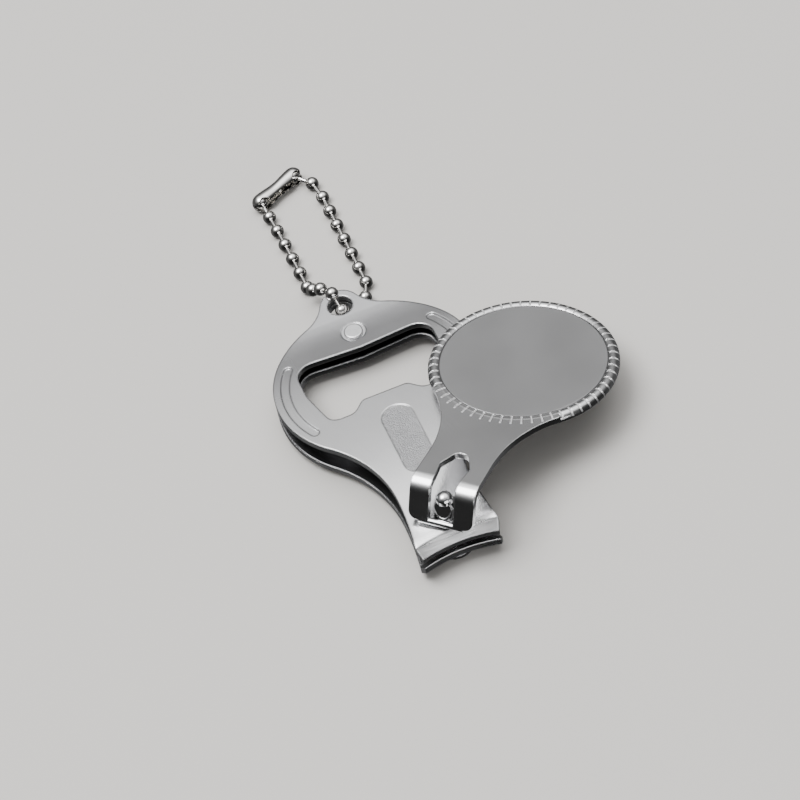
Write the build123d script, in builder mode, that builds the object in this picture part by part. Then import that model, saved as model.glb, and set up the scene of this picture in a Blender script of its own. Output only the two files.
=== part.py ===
from build123d import *
import os
from math import cos, radians, sin, tan

os.makedirs("parts", exist_ok=True)

# Key-ring nail clipper with bottle opener.  Millimetres.  The origin is on the pivot pin's axis,
# at the underside of its bottom head, which stands on the table.  +Y runs to the tail, -Y to the
# jaws, +X to the right, +Z up.

# ---------------------------------------------------------------- the two arms
plate_t = 1.2                # sheet thickness of both arms
body_r = 18.7                # round middle of the arms
body_y = 37.0                # its centre
hole_y = 56.8                # lanyard hole, and centre of the tail tab round it
hole_d = 4.6
tab_r = 3.8
tab_blend_r = 8.0            # concave corner between tab and round middle
neck_half = 6.7              # half width at the narrowest place
neck_y = 7.0
jaw_half = 7.6               # half width at the jaw's crease
blade_half = 6.95            # half width at the cutting edge
tail_lift = 0.15             # lower arm over the chain's balls, which lie on the table
tail_gap = 0.5               # between the two arms at the tail
front_top = 8.5              # upper arm, top face round the pin
flat_y = 8.0                 # the arms are level from the pin to here

# ---------------------------------------------------------------- jaws
jaw_arc_r = 24.0             # the cutting edge is hollow on this radius, seen from above
edge_y = -4.6                # middle of the cutting edge
crease_run = 1.5             # crease behind the edge
crease_step = 0.2            # depth of the sharp line at the crease
roll_run, roll_drop = 1.7, 0.24   # the sheet rolls down to the crease
jaw_opening = 1.3
upper_land = 0.95            # height of the ground front face of each blade
lower_land = 1.5
bevel_run = 2.2              # inner ground face, front to back
jaw_root = 6.0               # length of the formed jaw piece, edge to where the sheet begins
jaw_turn = 22.0              # half angle of the formed jaw, trimmed to the plan later

# ---------------------------------------------------------------- bottle opener, pad and slots
opener_half = 12.95
opener_top_y = 45.0          # middle of the long edge
opener_corner_y = 45.9
opener_side_y = 38.0
opener_low_y = 29.9          # bottom of the two lobes
opener_tip_y = 32.3          # top of the tongue between the lobes
lobe_out, lobe_in = 10.9, 6.6
tongue_half = 4.3
opener_top_r = 3.4           # corner radii, round the opening from the top
opener_side_r = 8.0
lobe_out_r, lobe_in_r = 2.2, 2.4
tongue_r = 1.5
pad_y = 19.7
pad_r = 2.93
pad_length = 17.1
pad_depth = 0.15
slot_r = 16.5                # middle line of the two curved slots
slot_w = 1.6
slot_from, slot_to = -29.0, 33.0
slot_depth = 0.3

# ---------------------------------------------------------------- tail rivet
rivet_y = 49.5
rivet_d = 2.8
rivet_head_d = 3.5
rivet_head_h = 0.45
dimple_d = 4.6
dimple_depth = 0.35
rivet_gap = 0.08

# ---------------------------------------------------------------- pivot pin
pin_d = 4.0
pin_foot_d = 7.0
pin_foot_h = 1.1
pin_foot_edge = 0.4          # chamfer round the foot
pin_lip_edge = 0.1           # height of the small cone under the lip
pin_neck_d = 2.9
pin_shoulder = 3.1           # heights above the upper arm
pin_lip = 4.0
pin_top = 5.7
pin_dome_h = 0.9
pin_gap = 0.05               # foot to lower arm
pin_hole_gap = 0.3           # shank to the arms' holes, on the radius
ramp_depth = 1.3             # how deep it is cut under the lip

# ---------------------------------------------------------------- lever
lever_yaw = 44.0             # swung to the right of the arms
lever_droop = 9.6            # its plane falls towards the head
lever_t = 1.2
lever_rise = 7.6             # its top face over the upper arm's, carried on to the pin's axis
head_reach = 34.7            # pin axis to head centre, seen from above
head_r = 16.95
recess_r = 15.0
recess_depth = 0.55
rim_drop = 0.2               # the rim is crowned: this much lower at the recess
shoulder = 0.9               # and this much at its outer edge
head_t = 1.3
neck_w = 11.8
fork_w = 12.0
lever_neck_back = 27.0       # narrowest place behind the head centre
neck_run = 6.0               # from there the sides widen to the fork
rod_d = 1.2                  # crossbar
rod_gap = 0.1                # crossbar to pin
foot_gap = 0.2               # crossbar to upper arm
bend_out = 0.5               # corner of the leg bend, from the pin axis
bend_r = 2.6
fork_gap = 0.35              # leg to pin
eye_half = 2.75
eye_back = 29.6
eye_end_back = 26.2
eye_run = 3.0                # the eye narrows to the slot over this length
eye_end_half = 1.1
eye_corner_r = 1.5
eye_side_r = 3.0
tick_count = 57
tick_w = 0.26
tick_depth = 0.32
tick_start = 0.2             # first metal of a tick, outside the recess
tick_end = 0.35              # its last, inside the head's edge
leg_corner_r = 1.6           # the fork legs' lower outer corners
badge_gap = 0.12
badge_t = 0.35
badge_edge = 0.08
badge_lift = 0.02

# ---------------------------------------------------------------- ball chain
ball_d = 2.5
link_d = 0.75
link_gap = 0.03              # link end to ball
pitch = 4.0                  # ball to ball
left_x, right_x = -3.3, 6.9  # the two strands
turn_y = 67.8                # both strands lie on the table from here
clasp_wall = 0.4
clasp_gap = 0.1              # round its two balls
clasp_waist = 0.3            # how much thinner it is between them
clasp_slot = 1.3
clasp_mouth_w, clasp_mouth_l = 3.1, 2.7   # wider openings at the balls
clasp_lift = 10.0            # the slot looks this far up from the table


# ================================================================ shared shapes
# Height of a sheet's outer face along Y, from the tail on: (y, share of the change from tail to pin).
arm_rise = [(hole_y - 3.0, 0.0), (45.0, 0.27), (30.0, 0.66), (17.0, 0.92), (flat_y, 1.0)]
tail_bottom = ball_d + tail_lift
tail_top = tail_bottom + 2 * plate_t + tail_gap
lower_bottom = pin_foot_h + pin_gap
mid_z = (front_top + lower_bottom) / 2
tail_end = hole_y + tab_r + 1.0
jaw_axis_y = edge_y - jaw_arc_r
crease_end_y = edge_y + crease_run - jaw_half**2 / (2 * jaw_arc_r)
rod_z = front_top + foot_gap + rod_d / 2
rod_back = pin_d / 2 + rod_gap + rod_d / 2
fork_slot_half = pin_d / 2 + fork_gap
lever_height = front_top + lever_rise
clasp_r = ball_d / 2 + clasp_gap + clasp_wall


def export_piece(builder, name):
    builder.part.label = name
    export_step(builder.part, f"parts/{name}.step")


def arm_band(at_tail, at_pin, low, high):
    """Side outline of a band that follows an arm's outer face, from low to high above it."""
    with BuildLine() as band:
        for shift in (low, high):
            face = [(y, at_tail + (at_pin - at_tail) * share + shift) for y, share in arm_rise]
            Line((tail_end, at_tail + shift), face[0])
            Spline(face, tangents=[(-1, 0), (-1, 0)])
            Line(face[-1], (0, at_pin + shift))
        Line((tail_end, at_tail + low), (tail_end, at_tail + high))
        Line((0, at_pin + low), (0, at_pin + high))
    return band.edges()


def arm_z(at_tail, at_pin, y):
    """Height of an arm's outer face at y, close enough for seats and rivet heads."""
    for (y0, s0), (y1, s1) in zip(arm_rise, arm_rise[1:]):
        if y1 <= y <= y0:
            return at_tail + (at_pin - at_tail) * (s0 + (s1 - s0) * (y0 - y) / (y0 - y1))
    return at_tail if y > arm_rise[0][0] else at_pin


with BuildSketch() as arm_plan:
    with Locations((0, body_y)):
        Circle(body_r)
    with Locations((0, hole_y)):
        Circle(tab_r)
    fillet(arm_plan.vertices().filter_by(lambda v: v.Y > body_y + 5 and abs(v.X) > 1), tab_blend_r)
    rise = body_y - neck_y
    hollow_r = (neck_half**2 + rise**2 - body_r**2) / (2 * (body_r - neck_half))
    reach = body_r / (body_r + hollow_r)
    touch = ((neck_half + hollow_r) * reach, body_y - rise * reach)
    flare_r = ((neck_y - crease_end_y)**2 + (jaw_half - neck_half)**2) / (2 * (jaw_half - neck_half))
    front_y = edge_y - 4
    with BuildLine():
        Polyline((0, touch[1]), (0, front_y), (blade_half, front_y),
                 (blade_half, crease_end_y - crease_run), (jaw_half, crease_end_y))
        RadiusArc((jaw_half, crease_end_y), (neck_half, neck_y), flare_r)
        RadiusArc((neck_half, neck_y), touch, hollow_r)
        Line(touch, (0, touch[1]))
    half_neck = make_face()
    mirror(half_neck, about=Plane.YZ)

with BuildSketch() as opener_plan:
    with BuildLine():
        Polyline((0, opener_top_y), (opener_half, opener_corner_y), (opener_half, opener_side_y),
                 (lobe_out, opener_low_y), (lobe_in, opener_low_y), (tongue_half, opener_tip_y),
                 (0, opener_tip_y), close=True)
    make_face()
    for x, y, radius in ((opener_half, opener_corner_y, opener_top_r),
                         (opener_half, opener_side_y, opener_side_r),
                         (lobe_out, opener_low_y, lobe_out_r), (lobe_in, opener_low_y, lobe_in_r),
                         (tongue_half, opener_tip_y, tongue_r)):
        fillet(opener_plan.vertices().sort_by_distance((x, y))[0], radius)
    mirror(about=Plane.YZ)


def make_arm(at_tail, at_pin, up, land):
    """One arm: bowed sheet with a bent and ground jaw.  up is +1 above, -1 below."""
    low, high = (-plate_t, 0) if up > 0 else (0, plate_t)
    tip_z = mid_z + up * jaw_opening / 2
    inner_z = at_pin - up * plate_t
    edge = jaw_axis_y + jaw_arc_r
    with BuildPart() as arm:
        with BuildSketch(Plane.YZ):
            make_face(arm_band(at_tail, at_pin, low, high))
        extrude(amount=body_r + 2, both=True)
        with BuildSketch(Plane.YZ) as jaw:
            with BuildLine():
                crease = edge + crease_run
                rolled = at_pin - up * roll_drop
                roll_r = (roll_run**2 + roll_drop**2) / (2 * roll_drop)
                Polyline((crease, rolled), (crease, rolled - up * crease_step),
                         (edge, tip_z + up * land), (edge, tip_z), (edge + bevel_run, inner_z),
                         (edge + jaw_root, inner_z), (edge + jaw_root, at_pin),
                         (crease + roll_run, at_pin))
                RadiusArc((crease + roll_run, at_pin), (crease, rolled), -up * roll_r)
            make_face()
        for turn in (-jaw_turn, jaw_turn):
            revolve(jaw.sketch, axis=Axis((0, jaw_axis_y, 0), (0, 0, 1)), revolution_arc=turn)
        extrude(arm_plan.sketch, amount=front_top + 5, mode=Mode.INTERSECT)
        extrude(opener_plan.sketch, amount=front_top + 5, mode=Mode.SUBTRACT)
        for y, bore in ((hole_y, hole_d), (0, pin_d + 2 * pin_hole_gap),
                        (rivet_y, rivet_d + 2 * rivet_gap)):
            with Locations((0, y, 0)):
                Cylinder(bore / 2, 4 * front_top, mode=Mode.SUBTRACT)
        dimple_z = arm_z(at_tail, at_pin, rivet_y) - up * dimple_depth
        with Locations((0, rivet_y, dimple_z + up * 2)):
            Cylinder(dimple_d / 2, 4, mode=Mode.SUBTRACT)
    return arm


def lever_point(out, z):
    """World point at a distance from the pin axis along the lever, and a height."""
    return (out * sin(radians(lever_yaw)), out * cos(radians(lever_yaw)), z)


# ================================================================ upper arm
with BuildLine() as slot_middle:
    CenterArc((0, body_y), slot_r, slot_from, slot_to - slot_from)
with BuildSketch() as pad:
    with Locations((0, pad_y)):
        SlotOverall(pad_length, 2 * pad_r, rotation=90)
with BuildSketch() as slots:
    SlotArc(slot_middle.edges()[0], slot_w)
    mirror(about=Plane.YZ)


def pressing(outline, depth):
    """What a punch of this outline leaves out of the upper arm's top face."""
    with BuildPart() as punch:
        with BuildSketch(Plane.YZ):
            make_face(arm_band(tail_top, front_top, -depth, plate_t))
        extrude(amount=body_r, both=True)
        extrude(outline, amount=front_top + 2 * plate_t, mode=Mode.INTERSECT)
    return punch.part


upper_blank = make_arm(tail_top, front_top, 1, upper_land)
with BuildPart() as upper_arm:
    add(upper_blank.part)
    add(pressing(pad.sketch, pad_depth), mode=Mode.SUBTRACT)
    add(pressing(slots.sketch, slot_depth), mode=Mode.SUBTRACT)
export_piece(upper_arm, "upper_arm")

# ================================================================ lower arm
lower_arm = make_arm(tail_bottom, lower_bottom, -1, lower_land)
export_piece(lower_arm, "lower_arm")

# ================================================================ tail rivet
rivet_top = arm_z(tail_top, front_top, rivet_y) - dimple_depth + rivet_gap
rivet_bottom = arm_z(tail_bottom, lower_bottom, rivet_y) + dimple_depth - rivet_gap
with BuildPart() as tail_rivet:
    with Locations((0, rivet_y, (rivet_top + rivet_bottom) / 2)):
        Cylinder(rivet_d / 2, rivet_top - rivet_bottom)
    for seat, side in ((rivet_top, 1), (rivet_bottom, -1)):
        with Locations((0, rivet_y, seat + side * rivet_head_h / 2)):
            Cylinder(rivet_head_d / 2, rivet_head_h)
    ends = tail_rivet.faces().sort_by(Axis.Z)
    for end in (ends[0], ends[-1]):
        fillet(end.edges(), rivet_head_h * 0.6)
export_piece(tail_rivet, "tail_rivet")

# ================================================================ pivot pin
lever_side = Plane(origin=(0, 0, 0), x_dir=lever_point(1, 0),
                   z_dir=(cos(radians(lever_yaw)), -sin(radians(lever_yaw)), 0))
with BuildPart() as pivot_pin:
    with BuildSketch(Plane.XZ):
        with BuildLine():
            pin_top_z, pin_lip_z = front_top + pin_top, front_top + pin_lip
            dome_z = pin_top_z - pin_dome_h
            Polyline((0, pin_top_z), (0, 0), (pin_foot_d / 2 - pin_foot_edge, 0),
                     (pin_foot_d / 2, pin_foot_edge),
                     (pin_foot_d / 2, pin_foot_h), (pin_d / 2, pin_foot_h),
                     (pin_d / 2, front_top + pin_shoulder), (pin_neck_d / 2, pin_lip_z - pin_lip_edge),
                     (pin_neck_d / 2, dome_z))
            dome_r = ((pin_neck_d / 2)**2 + pin_dome_h**2) / (2 * pin_dome_h)
            RadiusArc((pin_neck_d / 2, dome_z), (0, pin_top_z), -dome_r)
        make_face()
    revolve(axis=Axis.Z)
    with BuildSketch(lever_side):
        with BuildLine():
            ramp_in = -(pin_d / 2 - ramp_depth)
            ramp_low_z = rod_z + rod_d / 2
            Polyline((-pin_d / 2, ramp_low_z), (ramp_in, pin_lip_z), (-pin_d, pin_lip_z),
                     (-pin_d, ramp_low_z), close=True)
        make_face()
    extrude(amount=pin_d, both=True, mode=Mode.SUBTRACT)
export_piece(pivot_pin, "pivot_pin")

# ================================================================ lever
droop = radians(lever_droop)
head_z = lever_height - head_reach * tan(droop)
along = Vector(*lever_point(cos(droop), -sin(droop)))
across = Vector(cos(radians(lever_yaw)), -sin(radians(lever_yaw)), 0)
head_plane = Plane(origin=lever_point(head_reach, head_z), x_dir=along, z_dir=across.cross(along))


def bow_centre(out):
    """Height of the middle of the lever's sheet at a distance from the pin axis."""
    return lever_height - out * tan(droop) - lever_t / 2 / cos(droop)


with BuildPart() as lever:
    with BuildSketch(lever_side):
        with BuildLine() as middle:
            FilletPolyline((-rod_back, rod_z), (bend_out, bow_centre(bend_out)),
                           (head_reach, bow_centre(head_reach)), radius=bend_r)
        trace(line_width=lever_t)
    extrude(amount=head_r + 2, both=True)
    neck = neck_w / 2
    sweep_r = (neck**2 + lever_neck_back**2 - head_r**2) / (2 * (head_r - neck))
    share = head_r / (head_r + sweep_r)
    head_touch = (-lever_neck_back * share, (neck + sweep_r) * share)
    fork_x = (rod_back + head_reach + 3) / cos(droop)
    with BuildSketch(head_plane) as lever_plan:
        with BuildLine():
            Polyline((0, 0), (-fork_x, 0), (-fork_x, fork_w / 2),
                     (-lever_neck_back - neck_run, fork_w / 2), (-lever_neck_back, neck))
            RadiusArc((-lever_neck_back, neck), head_touch, -sweep_r)
            Line(head_touch, (0, 0))
        make_face()
        mirror(about=Plane.XZ)
    extrude(amount=lever_height, both=True, mode=Mode.INTERSECT)
    # The eye and the slot between the fork's legs; the crossbar closes the slot in front.
    with BuildSketch(head_plane) as eye:
        with BuildLine():
            Polyline((-eye_end_back, 0), (-eye_end_back, eye_end_half), (-eye_back, eye_half),
                     (-eye_back - eye_run, fork_slot_half), (-fork_x, fork_slot_half),
                     (-fork_x, 0), close=True)
        make_face()
        for corner, radius in (((-eye_end_back, eye_end_half), eye_corner_r),
                               ((-eye_back, eye_half), eye_side_r)):
            place = head_plane.from_local_coords(Vector(*corner))
            fillet(eye.vertices().sort_by_distance(place)[0], radius)
        mirror(about=Plane.XZ)
    extrude(amount=lever_height, both=True, mode=Mode.SUBTRACT)
    for side in (-1, 1):
        corner = Vector(*lever_point(-rod_back, rod_z)) + across * (side * fork_w / 2)
        fillet(lever.edges().sort_by_distance(corner)[0], leg_corner_r)
    with BuildSketch(lever_side):
        with Locations((-rod_back, rod_z)):
            Circle(rod_d / 2)
    extrude(amount=(fork_slot_half + fork_w / 2) / 2, both=True)
    # The round head: a dish with a crowned rim and a flat recess for the badge.
    with BuildSketch(Plane(origin=head_plane.origin, x_dir=along, z_dir=across)):
        with BuildLine():
            Polyline((recess_r, -rim_drop), (recess_r, -recess_depth), (0, -recess_depth),
                     (0, -head_t), (head_r, -head_t), (head_r, -shoulder))
            ThreePointArc((head_r, -shoulder), ((recess_r + head_r) / 2, 0), (recess_r, -rim_drop))
        make_face()
    revolve(axis=Axis(head_plane.origin, head_plane.z_dir))
    with Locations(head_plane):
        Cylinder(recess_r, recess_depth, align=(Align.CENTER, Align.CENTER, Align.MAX),
                 mode=Mode.SUBTRACT)
tick_middle = (recess_r + tick_start + head_r - tick_end) / 2
with BuildPart() as ticks:
    with Locations(head_plane):
        with PolarLocations(tick_middle, tick_count):
            Box(2 * (tick_middle - recess_r - tick_start), tick_w, 2 * tick_depth)
with BuildPart() as lever_ticked:
    add(lever.part)
    add(ticks.part, mode=Mode.SUBTRACT)
export_piece(lever_ticked, "lever")

# ================================================================ badge disc
with BuildPart() as badge_disc:
    with Locations(head_plane.offset(-recess_depth + badge_lift)):
        Cylinder(recess_r - badge_gap, badge_t, align=(Align.CENTER, Align.CENTER, Align.MIN))
    chamfer(badge_disc.faces().sort_by(Axis.Z)[-1].edges(), badge_edge)
export_piece(badge_disc, "badge_disc")

# ================================================================ ball chain
ball_r = ball_d / 2
hole_z = (tail_top + tail_bottom) / 2
# Ball centres of the threaded stretch: over the tail's rim, down the hole, out below the arms.
over_rim = [(0.1, hole_y, hole_z), (-0.6, hole_y + 1.9, tail_top + ball_r + 0.4),
            (-1.9, tail_end + 0.6, tail_top + 0.1), (-2.9, turn_y - 2.9, ball_r + 2.0)]
below = [(2.4, hole_y + 1.4, ball_r), (5.5, hole_y + 3.5, ball_r), (right_x, turn_y - pitch, ball_r)]
strand = [turn_y + pitch * i for i in range(6)]
clasp_left = (left_x - 0.7, turn_y + 6 * pitch - 0.2, clasp_r)
clasp_right = (3.6, turn_y + 6 * pitch + 3.3, clasp_r)
left_run = [(left_x - 0.02 * i * i, y, ball_r) for i, y in enumerate(strand)]
right_run = [(right_x, y, ball_r) for y in strand] + [(right_x - 0.6, turn_y + 6 * pitch + 0.3, ball_r)]


def chain_ball(centre, name):
    with BuildPart() as ball:
        with Locations(centre):
            Sphere(ball_r)
    export_piece(ball, name)


def chain_links(centres, name):
    """Rods between successive balls, one solid each."""
    with BuildPart() as links:
        for start, end in centres:
            step = Vector(*end) - Vector(*start)
            rod = step.length - 2 * (ball_r + link_gap)
            middle = Vector(*start) + step * 0.5
            with Locations(Plane(origin=middle, z_dir=step)):
                Cylinder(link_d / 2, rod)
    export_piece(links, name)


anchor_balls = over_rim + below
loop_balls = left_run + [clasp_left] + right_run + [clasp_right]
for number, centre in enumerate(anchor_balls + loop_balls, start=1):
    chain_ball(centre, f"chain_ball_{number:02d}")
anchor_path = over_rim[::-1] + below
loop_left = left_run + [clasp_left]
loop_right = right_run + [clasp_right]
chain_links([*zip(anchor_path, anchor_path[1:]), (over_rim[-1], left_run[0]),
             (below[-1], right_run[0])], "chain_links_threaded")
chain_links([*zip(loop_left, loop_left[1:]), *zip(loop_right, loop_right[1:])], "chain_links_loop")

# ================================================================ chain clasp
clasp_dir = Vector(*clasp_right) - Vector(*clasp_left)
clasp_mid = (Vector(*clasp_right) + Vector(*clasp_left)) * 0.5
clasp_half = clasp_dir.length / 2
clasp_out = Vector(clasp_dir.Y, -clasp_dir.X, clasp_dir.length * tan(radians(clasp_lift)))
clasp_side = Plane(origin=clasp_mid, x_dir=clasp_dir, z_dir=clasp_out)


def clasp_profile(bulb):
    """Half section of a dumb-bell body whose two bulbs have this radius."""
    waist = bulb - clasp_waist
    with BuildLine() as half:
        Line((-clasp_half - bulb, 0), (clasp_half + bulb, 0))
        ThreePointArc((clasp_half + bulb, 0), (clasp_half + bulb * cos(radians(45)),
                      bulb * sin(radians(45))), (clasp_half, bulb))
        Spline((clasp_half, bulb), (0, waist), (-clasp_half, bulb), tangents=[(-1, 0), (-1, 0)])
        ThreePointArc((-clasp_half, bulb), (-clasp_half - bulb * cos(radians(45)),
                      bulb * sin(radians(45))), (-clasp_half - bulb, 0))
    return half.edges()


with BuildPart() as chain_clasp:
    for bulb, mode in ((clasp_r, Mode.ADD), (clasp_r - clasp_wall, Mode.SUBTRACT)):
        with BuildSketch(clasp_side):
            make_face(clasp_profile(bulb))
        revolve(axis=Axis(clasp_mid, clasp_dir), mode=mode)
    with BuildSketch(clasp_side):
        Rectangle(2 * (clasp_half + clasp_r), clasp_slot)
        for end in (-1, 1):
            with Locations((end * clasp_half, 0)):
                SlotOverall(clasp_mouth_w, clasp_mouth_l - 0.01, rotation=90)
    extrude(amount=clasp_r, mode=Mode.SUBTRACT)
export_piece(chain_clasp, "chain_clasp")
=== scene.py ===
from math import cos, pi, radians, sin

import bpy
from mathutils import Matrix, Vector


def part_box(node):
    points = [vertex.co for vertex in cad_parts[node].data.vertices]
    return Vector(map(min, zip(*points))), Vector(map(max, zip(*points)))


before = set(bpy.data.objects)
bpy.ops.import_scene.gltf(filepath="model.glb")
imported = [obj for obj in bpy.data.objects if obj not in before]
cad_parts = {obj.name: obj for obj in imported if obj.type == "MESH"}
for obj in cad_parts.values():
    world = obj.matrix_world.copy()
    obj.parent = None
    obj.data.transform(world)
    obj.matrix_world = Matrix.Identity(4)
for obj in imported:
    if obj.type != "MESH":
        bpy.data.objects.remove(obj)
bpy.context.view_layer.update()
MM = 0.001

# ---------------------------------------------------------------- camera
VIEW_AZIMUTH = radians(9.9)       # the camera looks along +Y, turned this far towards +X
VIEW_ELEVATION = radians(49.23)
VIEW_ROLL = radians(-13.7)
VIEW_DISTANCE = 0.7
VIEW_TARGET = Vector((0, 27 * MM, 5 * MM))
LENS = 178.5
SENSOR = 36
SHIFT = (0.0037, 0.0249)


def make_camera():
    forward = Vector((cos(VIEW_ELEVATION) * sin(VIEW_AZIMUTH),
                      cos(VIEW_ELEVATION) * cos(VIEW_AZIMUTH), -sin(VIEW_ELEVATION)))
    level = Vector((cos(VIEW_AZIMUTH), -sin(VIEW_AZIMUTH), 0))
    right = cos(VIEW_ROLL) * level + sin(VIEW_ROLL) * level.cross(forward)
    data = bpy.data.cameras.new("camera")
    data.sensor_width = SENSOR
    data.lens = LENS
    data.shift_x, data.shift_y = SHIFT
    data.clip_start = 0.01
    camera = bpy.data.objects.new("camera", data)
    turn = Matrix((right, right.cross(forward), -forward)).transposed().to_4x4()
    camera.matrix_world = Matrix.Translation(VIEW_TARGET - forward * VIEW_DISTANCE) @ turn
    bpy.context.collection.objects.link(camera)
    bpy.context.scene.camera = camera


# ---------------------------------------------------------------- floor and light
FLOOR_SIZE = 6
FLOOR_COLOUR = (0.70, 0.68, 0.65, 1)
FLOOR_ROUGHNESS = 0.85
WORLD_STRENGTH = 3.0
# Grey against the upward part of a direction, from the horizon at 0 to straight up at 1.
WORLD_HEIGHT = ((0.0, 0.035), (0.08, 0.02), (0.35, 0.05), (0.574, 0.12), (0.63, 0.17),
                (0.70, 0.28), (0.76, 0.54), (0.86, 0.8), (1.0, 1.0))
# Grey against its part along +Y, from -Y at 0 to +Y at 1.
WORLD_SIDE = ((0.0, 0.12), (0.33, 0.25), (0.45, 0.7), (0.6, 1.0))
# Each area light's place, size in metres and power in watts.
LIGHTS = {"key": ((-0.32, 0.16, 1.0), (0.6, 0.6), 9),
          "front_panel": ((0.08, -0.72, 0.27), (0.6, 0.26), 1.5)}


def make_floor():
    bpy.ops.mesh.primitive_plane_add(size=FLOOR_SIZE)
    floor = bpy.context.object
    floor.name = "floor"
    material = bpy.data.materials.new("floor_pale")
    material.use_nodes = True
    shader = material.node_tree.nodes["Principled BSDF"]
    shader.inputs["Base Color"].default_value = FLOOR_COLOUR
    shader.inputs["Roughness"].default_value = FLOOR_ROUGHNESS
    floor.data.materials.append(material)
    # Bright metal mirrors the dark half of the world below it, not this floor.
    floor.visible_glossy = False


def area_light(name, place, size, power):
    """A rectangle of light, aimed at the camera's target."""
    data = bpy.data.lights.new(name, "AREA")
    data.shape = "RECTANGLE"
    data.size, data.size_y = size
    data.energy = power
    light = bpy.data.objects.new(name, data)
    light.location = place
    light.rotation_euler = (VIEW_TARGET - Vector(place)).to_track_quat("-Z", "Y").to_euler()
    bpy.context.collection.objects.link(light)


def grey_ramp(tree, stops):
    ramp = tree.nodes.new("ShaderNodeValToRGB")
    elements = ramp.color_ramp.elements
    while len(elements) < len(stops):
        elements.new(0.5)
    for element, (position, grey) in zip(elements, stops):
        element.position = position
        element.color = (grey, grey, grey, 1)
    return ramp


def make_world():
    """A soft studio: brightest overhead and beyond the object, dark near the floor and in front."""
    world = bpy.data.worlds.new("studio")
    bpy.context.scene.world = world
    world.use_nodes = True
    tree = world.node_tree
    tree.nodes.clear()
    coords = tree.nodes.new("ShaderNodeTexCoord")
    axes = tree.nodes.new("ShaderNodeSeparateXYZ")
    height = grey_ramp(tree, WORLD_HEIGHT)
    side = grey_ramp(tree, WORLD_SIDE)
    shift = tree.nodes.new("ShaderNodeMath")
    product = tree.nodes.new("ShaderNodeMix")
    background = tree.nodes.new("ShaderNodeBackground")
    output = tree.nodes.new("ShaderNodeOutputWorld")
    # A direction's part along Y runs from -1 to 1, and the ramp from 0 to 1.
    shift.operation = "MULTIPLY_ADD"
    shift.inputs[1].default_value = 0.5
    shift.inputs[2].default_value = 0.5
    product.data_type = "RGBA"
    product.blend_type = "MULTIPLY"
    product.inputs["Factor"].default_value = 1
    background.inputs["Strength"].default_value = WORLD_STRENGTH
    links = tree.links
    links.new(coords.outputs["Generated"], axes.inputs[0])
    links.new(axes.outputs["Z"], height.inputs[0])
    links.new(axes.outputs["Y"], shift.inputs[0])
    links.new(shift.outputs[0], side.inputs[0])
    links.new(height.outputs[0], product.inputs[6])
    links.new(side.outputs[0], product.inputs[7])
    links.new(product.outputs[2], background.inputs[0])
    links.new(background.outputs[0], output.inputs[0])


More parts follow.
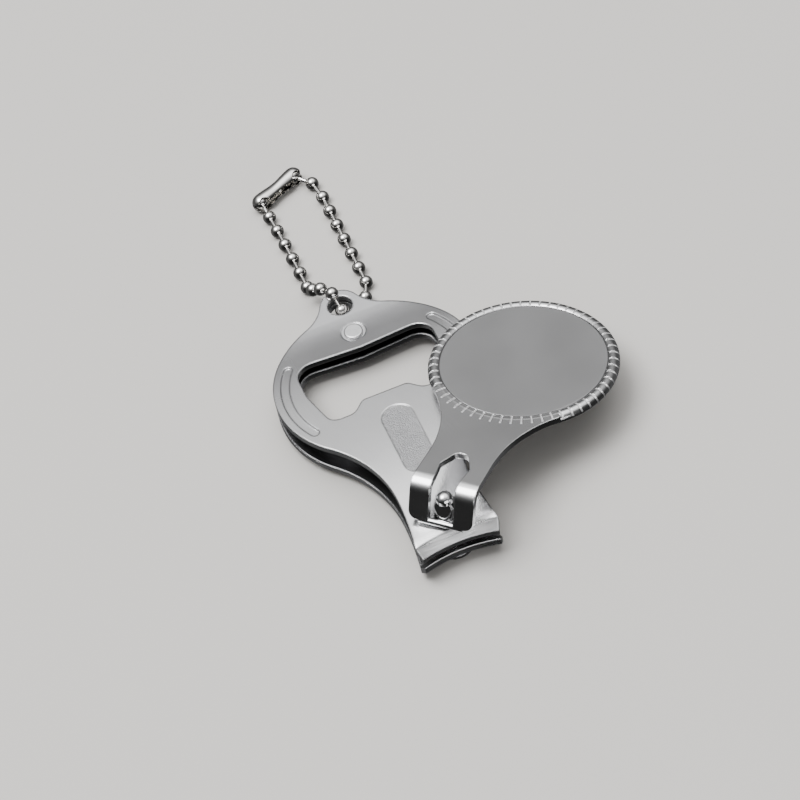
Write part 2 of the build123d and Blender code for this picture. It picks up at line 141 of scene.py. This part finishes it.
# ---------------------------------------------------------------- node trees
class Nodes:
    """Short calls for building one material's node tree, all in the object's own coordinates."""

    def __init__(self, name):
        self.material = bpy.data.materials.new(name)
        self.material.use_nodes = True
        self.tree = self.material.node_tree
        self.shader = self.tree.nodes["Principled BSDF"]
        self.place = self.add("ShaderNodeTexCoord").outputs["Object"]

    def add(self, kind, **settings):
        node = self.tree.nodes.new(kind)
        for key, value in settings.items():
            setattr(node, key, value)
        return node

    def link(self, source, target):
        self.tree.links.new(source, target)

    def feed(self, socket, value):
        """Gives a socket a number, or links another node's output to it."""
        if isinstance(value, (int, float)):
            socket.default_value = value
        else:
            self.link(value, socket)

    def math(self, operation, *values):
        node = self.add("ShaderNodeMath", operation=operation)
        for socket, value in zip(node.inputs, values):
            self.feed(socket, value)
        return node.outputs[0]

    def hypot(self, first, second):
        squares = [self.math("MULTIPLY", value, value) for value in (first, second)]
        return self.math("SQRT", self.math("ADD", *squares))

    def axis(self, name):
        split = self.add("ShaderNodeSeparateXYZ")
        self.link(self.place, split.inputs[0])
        return split.outputs[name]

    def offsets(self, centre):
        """Distances along X and along Y from a point."""
        return [self.math("SUBTRACT", self.axis(name), place) for name, place in zip("XY", centre)]

    def noise(self, per_metre, stretch=(1, 1, 1), detail=3, turn=0.0):
        mapping = self.add("ShaderNodeMapping")
        mapping.inputs["Scale"].default_value = stretch
        mapping.inputs["Rotation"].default_value = (0, 0, turn)
        texture = self.add("ShaderNodeTexNoise")
        texture.inputs["Scale"].default_value = per_metre
        texture.inputs["Detail"].default_value = detail
        self.link(self.place, mapping.inputs[0])
        self.link(mapping.outputs[0], texture.inputs["Vector"])
        return texture.outputs["Fac"]

    def spread(self, value, low, high, start=0.3, end=0.7):
        """Takes start to end, where most noise lies unless they are given, to low to high."""
        node = self.add("ShaderNodeMapRange")
        self.link(value, node.inputs["Value"])
        ends = {"From Min": start, "From Max": end, "To Min": low, "To Max": high}
        for key, number in ends.items():
            node.inputs[key].default_value = number
        return node.outputs[0]

    def colour(self, factor, first, second):
        """Runs from one constant colour to another."""
        node = self.add("ShaderNodeMix", data_type="RGBA")
        self.link(factor, node.inputs["Factor"])
        node.inputs[6].default_value = (*first, 1)
        node.inputs[7].default_value = (*second, 1)
        return node.outputs[2]

    def blend(self, factor, colour, second):
        """Runs from a colour that nodes make to a constant one."""
        node = self.add("ShaderNodeMix", data_type="RGBA")
        self.link(factor, node.inputs["Factor"])
        self.link(colour, node.inputs[6])
        node.inputs[7].default_value = (*second, 1)
        return node.outputs[2]

    def facing(self, direction):
        """1 on faces that look up (direction 1) or down (-1) in the object's own frame."""
        coords = self.add("ShaderNodeTexCoord")
        split = self.add("ShaderNodeSeparateXYZ")
        self.link(coords.outputs["Normal"], split.inputs[0])
        return self.math("GREATER_THAN", self.math("MULTIPLY", split.outputs["Z"], direction), 0.7)

    def mix(self, factor, first, second):
        node = self.add("ShaderNodeMix", data_type="FLOAT")
        for key, value in (("Factor", factor), ("A", first), ("B", second)):
            self.feed(node.inputs[key], value)
        return node.outputs["Result"]

    def finish(self, colour, roughness, height, depth, edge):
        """Sockets common to every metal; edge is the radius that sharp edges are shaded with."""
        bevel = self.add("ShaderNodeBevel", samples=6)
        bevel.inputs["Radius"].default_value = edge
        bump = self.add("ShaderNodeBump")
        bump.inputs["Distance"].default_value = depth
        self.link(bevel.outputs[0], bump.inputs["Normal"])
        self.link(height, bump.inputs["Height"])
        self.link(bump.outputs[0], self.shader.inputs["Normal"])
        self.link(colour, self.shader.inputs["Base Color"])
        self.link(roughness, self.shader.inputs["Roughness"])
        self.shader.inputs["Metallic"].default_value = 1
        return self.material


# ---------------------------------------------------------------- arms
PAD_R = 2.93 * MM
PAD_HALF = 17.1 / 2 * MM - PAD_R  # from its middle to the centre of each round end
PAD_Y = 19.7 * MM
PAD_MARGIN = 0.05 * MM
PAD_REACH_DOWN = 1.3 * MM         # how far below the arm's top the pad's finish goes
JAW_Y = -3.0 * MM
ARM_TOP = 8.5 * MM
PAINTED_SHADE_GREY = (0.30, 0.30, 0.305)  # painted shade: darkens the sheets' inner faces, the lever's underside and a ring round the pivot pin
JAW_PAINTED_SHEEN = (0.95, 0.95, 0.955)  # painted reflection: the arms are painted brightest next to the jaws, and darker towards the tail
TAIL_PAINTED_SHADE = (0.63, 0.63, 0.64)    # and duller towards the tail
PAINTED_SHEEN_RUN = (12 * MM, 52 * MM)
PAINTED_SHEEN_CLOUD = 0.1                # how far clouds shift that run, as a share of it
PIN_SHADE_RING = (2.5 * MM, 4.6 * MM)   # painted shade: the darkened ring round the pivot pin, under the lever
PAD_COLOUR = (0.47, 0.47, 0.48)
ARM_ROUGHNESS = (0.20, 0.28)
JAW_ROUGHNESS = (0.24, 0.42)
PAD_ROUGHNESS = 0.36
# Noise scales, per metre.
ARM_CLOUD = 60
ARM_GRAIN = 2600
JAW_GRAIN = 1500
PAD_GRAIN = 6000
# The arm's relief, and how many times deeper it is on the jaw and on the pad.
ARM_RELIEF = 0.012 * MM
JAW_DEEPER = 3.0
PAD_DEEPER = 15.0
ARM_EDGE = 0.45 * MM


def pad_mask(n):
    """1 on the upper arm's stippled thumb pad, a slot shape along Y."""
    along = n.math("SUBTRACT", n.math("ABSOLUTE", n.math("SUBTRACT", n.axis("Y"), PAD_Y)), PAD_HALF)
    along = n.math("MAXIMUM", along, 0.0)
    inside = n.math("LESS_THAN", n.hypot(along, n.axis("X")), PAD_R - PAD_MARGIN)
    on_top = n.math("GREATER_THAN", n.axis("Z"), ARM_TOP - PAD_REACH_DOWN)
    return n.math("MULTIPLY", inside, on_top)


def arm_material(name, has_pad, inner):
    """Satin chrome, with ground jaws and, on the upper arm, a stippled thumb pad; painted
    reflection makes it brighter towards the jaws, and painted shade darkens its inner face and, on
    the upper arm, a ring round the pivot pin.

    inner is the side of the sheet that faces the other arm: 1 for its top, -1 for its underside.
    """
    n = Nodes(name)
    y = n.axis("Y")
    cloud = n.noise(ARM_CLOUD)
    satin = n.noise(ARM_GRAIN, stretch=(1, 0.12, 1), detail=4)
    grind = n.noise(JAW_GRAIN, stretch=(0.05, 1, 1), detail=6)
    ground = n.math("LESS_THAN", y, JAW_Y)
    roughness = n.mix(ground, n.spread(cloud, *ARM_ROUGHNESS), n.spread(grind, *JAW_ROUGHNESS))
    height = n.mix(ground, satin, n.math("MULTIPLY", grind, JAW_DEEPER))
    # painted reflection: brighter towards the jaws, darker towards the tail, shifted a little by
    # clouds
    painted_sheen = n.math("ADD", n.spread(y, 0, 1, *PAINTED_SHEEN_RUN),
                    n.spread(cloud, -PAINTED_SHEEN_CLOUD, PAINTED_SHEEN_CLOUD))
    colour = n.colour(painted_sheen, JAW_PAINTED_SHEEN, TAIL_PAINTED_SHADE)
    if has_pad:
        pad = pad_mask(n)
        stipple = n.noise(PAD_GRAIN, detail=1)
        roughness = n.mix(pad, roughness, PAD_ROUGHNESS)
        height = n.mix(pad, height, n.math("MULTIPLY", stipple, PAD_DEEPER))
        # painted shade: a ring round the pivot pin, under the lever, is darkened
        pin_shade = n.spread(n.hypot(n.axis("X"), y), 1, 0, *PIN_SHADE_RING)
        colour = n.blend(pin_shade, colour, PAINTED_SHADE_GREY)
        colour = n.blend(pad, colour, PAD_COLOUR)
    # painted shade: the inner face, which looks at the other arm, is darkened
    colour = n.blend(n.facing(inner), colour, PAINTED_SHADE_GREY)
    return n.finish(colour, roughness, height, ARM_RELIEF, ARM_EDGE)


# ---------------------------------------------------------------- lever
LEVER_YAW = radians(44)           # from +Y towards +X
LEVER_DROOP = radians(9.6)        # below level, towards the round head
LEVER_COLOURS = ((0.76, 0.76, 0.765), (0.81, 0.81, 0.815))
LEVER_ROUGHNESS = (0.17, 0.23)
LEVER_CLOUD = 70
LEVER_GRAIN = 2400
LEVER_RELIEF = 0.008 * MM
LEVER_EDGE = 0.28 * MM
TICKS = 57
TICK_STEP = 2 * pi / TICKS
TICK_HALF = 0.17 * MM
TICK_IN = 15.15 * MM
TICK_OUT = 17 * MM
TICK_PAINTED_HIGHLIGHT = (0.96, 0.96, 0.96)
TICK_ROUGHNESS = 0.55


def tick_mask(n, centre):
    """1 on the ticks round the lever's head; distances are measured in the head's own plane."""
    dx, dy = n.offsets(centre)
    out = n.math("ADD", n.math("MULTIPLY", dx, sin(LEVER_YAW)),
                 n.math("MULTIPLY", dy, cos(LEVER_YAW)))
    out = n.math("DIVIDE", out, cos(LEVER_DROOP))
    aside = n.math("SUBTRACT", n.math("MULTIPLY", dx, cos(LEVER_YAW)),
                   n.math("MULTIPLY", dy, sin(LEVER_YAW)))
    radius = n.hypot(out, aside)
    steps = n.math("DIVIDE", n.math("ARCTAN2", aside, out), TICK_STEP)
    off = n.math("ABSOLUTE", n.math("SUBTRACT", steps, n.math("ROUND", steps)))
    off = n.math("MULTIPLY", n.math("MULTIPLY", off, TICK_STEP), radius)
    tick = n.math("LESS_THAN", off, TICK_HALF)
    tick = n.math("MULTIPLY", tick, n.math("GREATER_THAN", radius, TICK_IN))
    return n.math("MULTIPLY", tick, n.math("LESS_THAN", radius, TICK_OUT))


def lever_material(centre):
    """Satin chrome with the rim's ticks rougher and painted bright as a painted highlight, and the
    underside darkened as painted shade; centre is the round head's.
    """
    n = Nodes("lever_chrome")
    cloud = n.noise(LEVER_CLOUD)
    satin = n.noise(LEVER_GRAIN, stretch=(1, 0.1, 1), detail=4, turn=LEVER_YAW)
    tick = tick_mask(n, centre)
    colour = n.colour(n.spread(cloud, 0, 1), *LEVER_COLOURS)
    # painted highlight: the ticks are painted near white where their grooves catch the light
    colour = n.blend(tick, colour, TICK_PAINTED_HIGHLIGHT)
    # painted shade: the lever's underside is darkened
    colour = n.blend(n.facing(-1), colour, PAINTED_SHADE_GREY)
    roughness = n.mix(tick, n.spread(cloud, *LEVER_ROUGHNESS), TICK_ROUGHNESS)
    return n.finish(colour, roughness, satin, LEVER_RELIEF, LEVER_EDGE)


# ---------------------------------------------------------------- badge and small pieces
BADGE_COLOURS = ((0.63, 0.63, 0.635), (0.66, 0.66, 0.665))
BADGE_ROUGHNESS = (0.28, 0.32)
BADGE_CLOUD = 90
BADGE_RINGS = 9000
BADGE_EDGE = 0.1 * MM
SMALL_CLOUD = 500
SMALL_WEAR = 900
SMALL_RELIEF = 0.006 * MM
CHROME = ((0.70, 0.70, 0.71), (0.80, 0.80, 0.81))
PIN_CHROME = ((0.84, 0.84, 0.85), (0.92, 0.92, 0.93))
NICKEL = ((0.86, 0.845, 0.82), (0.93, 0.915, 0.89))


def badge_material(centre):
    """Fine brushing in rings round the disc's centre."""
    n = Nodes("badge_satin")
    rings = n.add("ShaderNodeTexNoise", noise_dimensions="1D")
    rings.inputs["Scale"].default_value = BADGE_RINGS
    rings.inputs["Detail"].default_value = 4
    n.link(n.hypot(*n.offsets(centre)), rings.inputs["W"])
    cloud = n.noise(BADGE_CLOUD)
    colour = n.colour(n.spread(cloud, 0, 1), *BADGE_COLOURS)
    roughness = n.spread(cloud, *BADGE_ROUGHNESS)
    return n.finish(colour, roughness, rings.outputs["Fac"], SMALL_RELIEF, BADGE_EDGE)


def polished_material(name, roughness, colours, edge):
    """Clouded colour under fine wear; roughness and colours are each a pair, from and to."""
    n = Nodes(name)
    cloud = n.noise(SMALL_CLOUD)
    wear = n.noise(SMALL_WEAR, stretch=(1, 0.2, 1), detail=5)
    colour = n.colour(n.spread(cloud, 0, 1), *colours)
    return n.finish(colour, n.spread(wear, *roughness), wear, SMALL_RELIEF, edge)


def dress(node, material):
    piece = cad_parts[node]
    piece.data.materials.clear()
    piece.data.materials.append(material)


def dress_all():
    low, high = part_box("badge_disc")
    badge_centre = (Vector(low) + Vector(high)) / 2
    dress("upper_arm", arm_material("upper_arm_chrome", has_pad=True, inner=-1))
    dress("lower_arm", arm_material("lower_arm_chrome", has_pad=False, inner=1))
    dress("lever", lever_material(badge_centre))
    dress("badge_disc", badge_material(badge_centre))
    dress("tail_rivet", polished_material("rivet_chrome", (0.16, 0.26), CHROME, 0.12 * MM))
    dress("pivot_pin", polished_material("pin_chrome", (0.06, 0.12), PIN_CHROME, 0.15 * MM))
    ball = polished_material("ball_nickel", (0.04, 0.09), NICKEL, 0.05 * MM)
    link = polished_material("link_nickel", (0.08, 0.14), NICKEL, 0.05 * MM)
    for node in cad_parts:
        if node.startswith("chain_ball"):
            dress(node, ball)
        elif node.startswith("chain_links"):
            dress(node, link)
    dress("chain_clasp", polished_material("clasp_nickel", (0.05, 0.11), NICKEL, 0.04 * MM))


make_camera()
make_floor()
make_world()
for name, (place, size, power) in LIGHTS.items():
    area_light(name, place, size, power)
dress_all()
